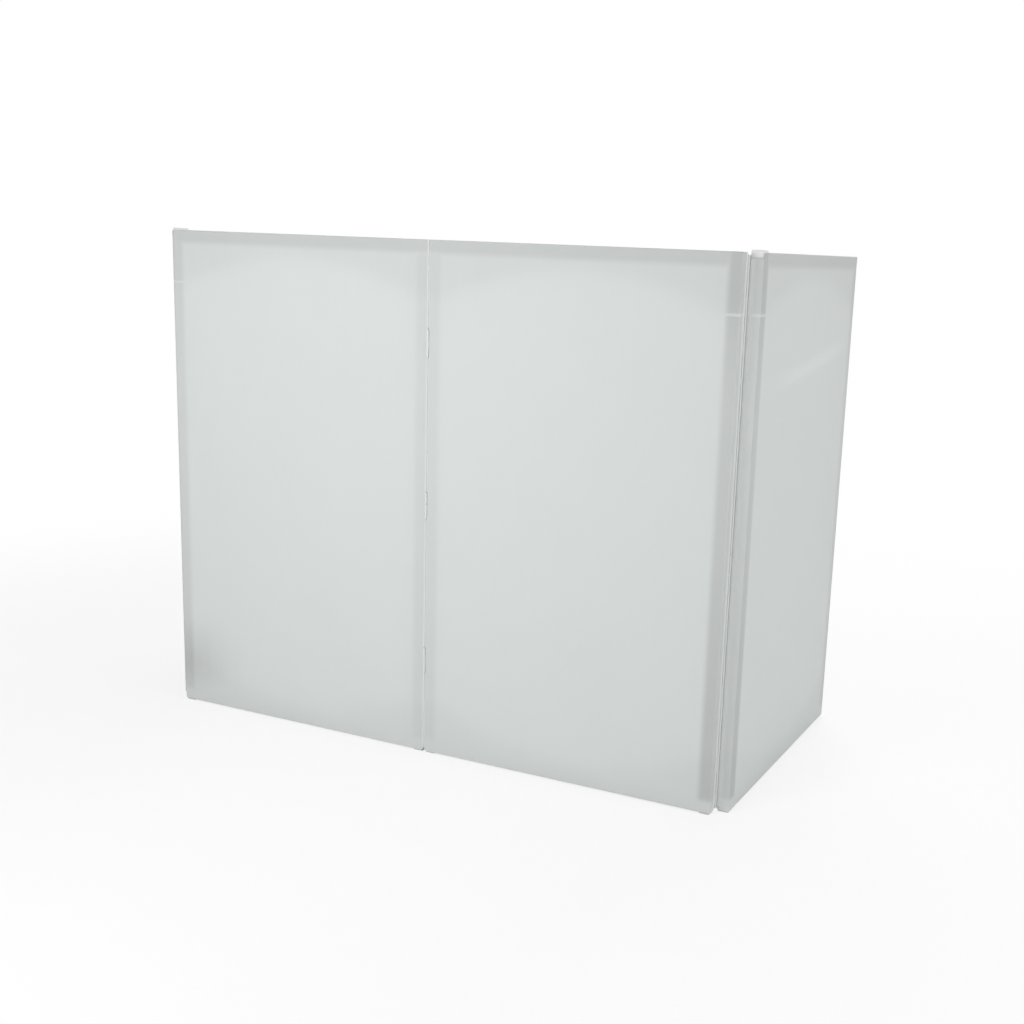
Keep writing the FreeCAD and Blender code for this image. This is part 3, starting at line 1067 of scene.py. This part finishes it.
    def strip(self, top: bool) -> Patch:
        """The strip over the top rail or under the bottom one: a grid in X and Y on a level plane.

        The top one is open round a domed cap, and the lower one runs only between the posts.

        Args:
            top: Whether it is the top strip.

        Returns:
            The patch.
        """
        panel, cut = self.panel, self.cut
        level = panel.high[2] if top else panel.low[2]
        x, y = np.meshgrid(self.columns(), self.depths(), indexing="ij")
        keep = np.ones(np.subtract(x.shape, 1), bool)
        for domed, off in zip(self.domed, (middles(x), panel.width - middles(x))):
            if top and domed:
                keep &= off > cut.cap_reach
            if not top:
                keep &= off > panel.tube
        wrapped = y - panel.low[1]
        flat = joined(x, level + wrapped if top else level - wrapped)
        return Patch(self.rounded(joined(x, y, level)), flat, keep, not top)

    def flap_points(self, x: Array, drop: Array, top: bool) -> Array:
        """Points on a rear flap.

        It lies on the plane behind the tubes. Its hem is thicker, and between the posts its free edge stands
        off in a few waves that grow with the square of the way down.

        Args:
            x: Distances from the panel's left end.
            drop: Distances from the flap's own edge of the box.
            top: Whether it is the top flap.

        Returns:
            The points.
        """
        panel, cut = self.panel, self.cut
        z = panel.head - drop if top else panel.foot + drop
        points = self.rounded(joined(x, panel.high[1], z))
        hem = smooth(cut.drop_at(x, panel.width) - drop, cut.hem + cut.hem_ramp, cut.hem)
        between = smooth(np.minimum(x, panel.width - x), panel.tube, panel.tube + self.flare_blend)
        wave = 0.5 + 0.5 * np.sin(math.tau * x / self.flare_length + self.tension.seed)
        loose = smooth(drop, panel.tube, cut.pocket_depth) ** 2
        points[..., 1] += cut.hem_rise * hem + self.flare * between * wave * loose
        return points

    def flap_sides(self) -> Pair:
        """The X at which the rear flaps end: at the cover's edges, or beside a corner hinge's leaf.

        Returns:
            The left end and the right end.
        """
        room = {End.CORNER: self.cut.leaf_room}
        left, right = (room.get(kind, -self.panel.stand_off) for kind in self.ends)
        return left, self.panel.width - right

    def flap(self, top: bool) -> Patch:
        """A rear flap: a grid in X and in rows from its edge to its hem, which follows the scallop.

        Args:
            top: Whether it is the top flap.

        Returns:
            The patch.
        """
        panel, cut = self.panel, self.cut
        x = self.columns()[:, None]
        reach = cut.drop_at(x, panel.width)
        start = self.near_edge()
        hem = np.array([cut.hem + cut.hem_ramp, cut.hem, cut.hem / 2, 0.0])
        share = np.linspace(0.0, 1.0, self.flap_steps)[1:-1]
        body = start[-1] + (reach - hem[0] - start[-1]) * share
        drop = np.concatenate([np.broadcast_to(start, (len(x), len(start))), body, reach - hem], axis=1)
        x = np.broadcast_to(x, drop.shape)
        keep = inside(middles(x), *self.flap_sides())
        across = panel.high[1] - panel.low[1]
        flat = joined(x, panel.head + across + drop if top else panel.foot - across - drop)
        return Patch(self.flap_points(x, drop, top), flat, keep, not top)

    def stitch_places(self) -> Array:
        """Where the stitches go: two rows along each flap's hem and one down each return's rear edge.

        Returns:
            The places of all rows, as Stitching.row gives them.
        """
        panel, cut, sewing = self.panel, self.cut, self.stitching
        left, right = self.flap_sides()
        margin = self.hem_rows[0]
        x = np.linspace(left + margin, right - margin, sewing.row_steps)
        rows = []
        for top in (True, False):
            for inset in self.hem_rows:
                line = self.flap_points(x, cut.drop_at(x, panel.width) - inset, top)
                rows.append(sewing.row(line, np.array([0.0, 1.0, 0.0])))
        low, high = panel.foot + cut.corner + margin, panel.post_top - cut.bare_post
        z = np.linspace(low, high, sewing.row_steps)
        for end, outward in ((panel.low[0], -1.0), (panel.high[0], 1.0)):
            line = joined(end, cut.return_depth - margin, z)
            rows.append(sewing.row(line, np.array([outward, 0.0, 0.0])))
        return np.concatenate(rows)

    def build(self, knit: StretchKnit, thread: bpy.types.Material) -> list[bpy.types.Object]:
        """Make the cover and its stitches and put them on the panel's body.

        Args:
            knit: The cloth.
            thread: The thread's material.

        Returns:
            The cover and its stitches.
        """
        panel, cut = self.panel, self.cut
        patches = [self.front(), self.end_return(False), self.end_return(True)]
        patches += [self.strip(True), self.strip(False), self.flap(True), self.flap(False)]
        placed = [replace(patch, points=panel.to_booth(patch.points)) for patch in patches]
        mesh, area = sewn(f"{self.name}_stretch_cover", placed)
        mesh.materials.append(knit.make(self))
        cover = shown(mesh)
        wall = cover.modifiers.new("cloth", "SOLIDIFY")
        wall.thickness, wall.offset = panel.cloth, -1.0
        stitches = shown(self.stitching.mesh(f"{self.name}_seam_stitches", self.stitch_places(), panel))
        stitches.data.materials.append(thread)
        for piece in (cover, stitches):
            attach(piece, self.name)
        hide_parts(f"{self.name}_cover_sheet", f"{self.name}_cover_hems")
        return [cover, stitches]


TUBE_WHITE = (0.77, 0.785, 0.78)
HINGE_WHITE = (0.80, 0.815, 0.81)
PLASTIC_WHITE = (0.82, 0.82, 0.81)

# White powder coat on steel: slight clouding, scuffs close to the floor, fine orange peel.
POWDER_COAT = Finish(
    "white_powder_coat",
    TUBE_WHITE,
    roughness=0.36,
    specular=0.45,
    relief_height=0.00009,
    relief_strength=0.6,
    layers=(
        Layer(7.0, colour=scaled(TUBE_WHITE, 0.95), rough=0.12),
        Layer(60.0, 4.0, 0.3, (0.60, 0.68), top=0.09, colour=scaled(TUBE_WHITE, 0.55), cover=0.7, rough=0.2),
        Layer(520.0, 1.0, relief=1.0),
    ),
)
# Thin white paint on hinge leaves: brush marks, and small spots rubbed through to bare steel.
HINGE_PAINT = Finish(
    "white_hinge_paint",
    HINGE_WHITE,
    roughness=0.4,
    relief_height=0.00006,
    layers=(
        Layer(380.0, z_scale=0.08, colour=scaled(HINGE_WHITE, 0.95), rough=0.1, relief=1.0),
        Layer(85.0, 5.0, step=(0.69, 0.76), colour=rgba((0.55, 0.55, 0.54)), metal=0.9, relief=-0.6),
    ),
)
# Zinc plated steel: faint mottling, rough and tarnished in spots, and fine turning marks.
ZINC_PLATE = Finish(
    "zinc_plate",
    (0.74, 0.75, 0.76),
    roughness=0.28,
    metallic=1.0,
    relief_height=0.00003,
    relief_strength=0.5,
    layers=(
        Layer(900.0, 3.0, rough=0.22),
        Layer(900.0, 3.0, step=(0.35, 0.75), colour=rgba((0.60, 0.60, 0.57))),
        Layer(2600.0, 1.0, 0.2, relief=1.0),
    ),
)
# Moulded white plastic: flow marks, grime close to the floor, a fine spark-eroded grain.
MOULDED_PLASTIC = Finish(
    "white_moulded_plastic",
    PLASTIC_WHITE,
    roughness=0.5,
    relief_height=0.00005,
    relief_strength=0.5,
    layers=(
        Layer(40.0, colour=scaled(PLASTIC_WHITE, 0.94), rough=0.12),
        Layer(40.0, even=0.35, patchy=0.5, top=0.006, colour=scaled(PLASTIC_WHITE, 0.45)),
        Layer(1800.0, 1.0, relief=1.0),
    ),
)


@dataclass(frozen=True)
class FrameFinishes:
    """The finishes of the frame's own nodes, by the endings of their names."""

    tube: Finish = POWDER_COAT
    hinge: Finish = HINGE_PAINT
    plastic: Finish = MOULDED_PLASTIC
    zinc: Finish = ZINC_PLATE

    def dress(self, nodes: dict[str, bpy.types.Object], hidden: set[str]) -> None:
        """Give every node that shows its finish.

        Args:
            nodes: The frame's nodes by name.
            hidden: Names of the nodes that other pieces stand for.
        """
        endings = {
            ("_post", "_rail"): self.tube.make(),
            ("_leaves",): self.hinge.make(),
            ("_caps", "_feet", "_plugs"): self.plastic.make(),
            ("_screws", "_pins"): self.zinc.make(),
        }
        for name in sorted(set(nodes) - hidden):
            material = next(made for ends, made in endings.items() if name.endswith(ends))
            nodes[name].data.materials.clear()
            nodes[name].data.materials.append(material)
            log.info("%s: %s", name, material.name)


@dataclass(frozen=True)
class ViewPoint:
    """The camera: its place, the angles that it looks along in degrees, and its image in pixels."""

    place: Place = (1.6225, -2.9382, 1.1950)
    yaw: float = 24.7218
    pitch: float = 12.347
    roll: float = 2.289
    focal_pixels: float = 1325.7
    centre_pixel: Pair = (600.0, 540.0)
    image_pixels: float = 1024.0
    sensor: float = 36.0

    def build(self) -> None:
        """Make the camera and use it."""
        data = bpy.data.cameras.new("view_point")
        data.sensor_width = self.sensor
        data.lens = self.focal_pixels / self.image_pixels * self.sensor
        data.shift_x = 0.5 - self.centre_pixel[0] / self.image_pixels
        data.shift_y = self.centre_pixel[1] / self.image_pixels - 0.5
        camera = shown(data)
        turn = Matrix.Rotation(math.radians(self.yaw), 4, "Z")
        turn = turn @ Matrix.Rotation(math.radians(90.0 - self.pitch), 4, "X")
        turn = turn @ Matrix.Rotation(math.radians(self.roll), 4, "Z")
        camera.matrix_world = Matrix.Translation(self.place) @ turn
        bpy.context.scene.camera = camera


@dataclass(frozen=True)
class SoftBox:
    """A large soft lamp that looks at one point."""

    name: str
    place: Place
    target: Place
    size: float
    power: float

    def build(self) -> None:
        """Make the lamp."""
        data = bpy.data.lights.new(self.name, "AREA")
        data.shape = "DISK"
        data.size = self.size
        data.energy = self.power
        lamp = shown(data)
        aim = Vector(self.target) - Vector(self.place)
        lamp.rotation_euler = aim.to_track_quat("-Z", "Y").to_euler()
        lamp.location = self.place


@dataclass(frozen=True)
class Studio:
    """A plain white studio: a pale floor that keeps the booth's shadow, soft lamps and an even surround."""

    reach: float = 30.0
    surround: float = 0.50
    floor_bounce: float = 0.85
    floor_white: float = 0.97
    floor_glow: float = 0.74
    fade_from: float = 1.2
    fade_to: float = 3.0
    lamps: tuple[SoftBox, ...] = (
        SoftBox("key", (-0.3, -2.4, 1.4), (-0.1, -0.38, 0.8), 1.2, 18.7),
        SoftBox("front_fill", (1.5, -3.2, 1.5), (0.6, -0.38, 0.6), 1.6, 3.5),
        SoftBox("side_fill", (3.5, -0.6, 1.9), (0.77, 0.0, 0.7), 2.0, 26.5),
        SoftBox("back", (0.0, 2.4, 2.6), (0.0, -0.1, 0.6), 2.4, 44.0),
    )

    def build(self) -> None:
        """Make the floor, the surround and the lamps."""
        self.make_floor()
        self.make_surround()
        for lamp in self.lamps:
            lamp.build()
        bpy.context.scene.view_settings.view_transform = "Standard"

    def make_floor(self) -> None:
        """One square at floor height. The camera sees it fade from pale with shadows to plain white."""
        corners = self.reach * np.array([(-1, -1, 0), (1, -1, 0), (1, 1, 0), (-1, 1, 0)], float)
        mesh = bpy.data.meshes.new("studio_floor")
        mesh.from_pydata(corners.tolist(), [], [(0, 1, 2, 3)])
        recipe = Recipe(bpy.data.materials.new("studio_floor"))
        at = recipe.place()
        x, y = recipe.along(at, "X"), recipe.along(at, "Y")
        far = (x * x + y * y).root().rise(self.fade_from, self.fade_to)
        pale = recipe.signal("BsdfDiffuse", {"Color": scaled(WHITE, self.floor_white)})
        white = recipe.signal("Emission", {"Strength": 1.0})
        glow = self.floor_glow + (1.0 - self.floor_glow) * far
        view = recipe.signal("MixShader", {0: glow, 1: pale, 2: white})
        room = recipe.signal("BsdfDiffuse", {"Color": scaled(WHITE, self.floor_bounce)})
        recipe.shade(recipe.signal("MixShader", {0: recipe.seen_directly(), 1: room, 2: view}))
        mesh.materials.append(recipe.owner)
        shown(mesh)

    def make_surround(self) -> None:
        """A world that is plain white to look at and lights the booth evenly."""
        bpy.context.scene.world = bpy.data.worlds.new("studio")
        recipe = Recipe(bpy.context.scene.world)
        light, view = (
            recipe.signal("Background", {"Color": rgba(WHITE), "Strength": strength})
            for strength in (self.surround, 1.0)
        )
        both = recipe.signal("MixShader", {0: recipe.seen_directly(), 1: light, 2: view})
        recipe.shade(both, "OutputWorld")


COVERS = (
    PanelCover(
        "front_left",
        Facing.FRONT,
        ("outer_post", "centre_post"),
        (End.CORNER, End.CENTRE),
        (False, False),
        (0.22, 0.12),
        Tension(3),
        painted_corner_shade=0.56,
    ),
    PanelCover(
        "front_right",
        Facing.FRONT,
        ("centre_post", "outer_post"),
        (End.CENTRE, End.CORNER),
        (False, False),
        (0.12, 0.50),
        Tension(5),
    ),
    PanelCover(
        "side_left",
        Facing.LEFT,
        ("rear_post", "front_post"),
        (End.FREE, End.CORNER),
        (False, True),
        (0.20, 0.50),
        Tension(7),
    ),
    PanelCover(
        "side_right",
        Facing.RIGHT,
        ("front_post", "rear_post"),
        (End.CORNER, End.FREE),
        (True, False),
        (0.50, 0.20),
        Tension(9, (PulledFold((0.10, 0.920), (0.72, 0.995), 0.004, 0.014),)),
    ),
)
# The cloth's own colour, the colour of its painted shade, and that of its painted light.
KNIT = StretchKnit("white_stretch_knit", (0.80, 0.8285, 0.817), (0.60, 0.622, 0.613), (0.92, 0.945, 0.935))
THREAD = SeamThread("white_seam_thread", (0.86, 0.88, 0.87))


def main() -> None:
    """Build the studio, the covers and the finishes."""
    logging.basicConfig(level=logging.INFO, format="%(message)s")
    Studio().build()
    ViewPoint().build()
    thread = THREAD.make()
    hidden = set()
    for cover in COVERS:
        for piece in cover.build(KNIT, thread):
            log.info("%s: %d faces", piece.name, len(piece.data.polygons))
        hidden |= {f"{cover.name}_cover_sheet", f"{cover.name}_cover_hems"}
    FrameFinishes().dress(frame["nodes"], hidden)


if __name__ == "__main__":
    main()
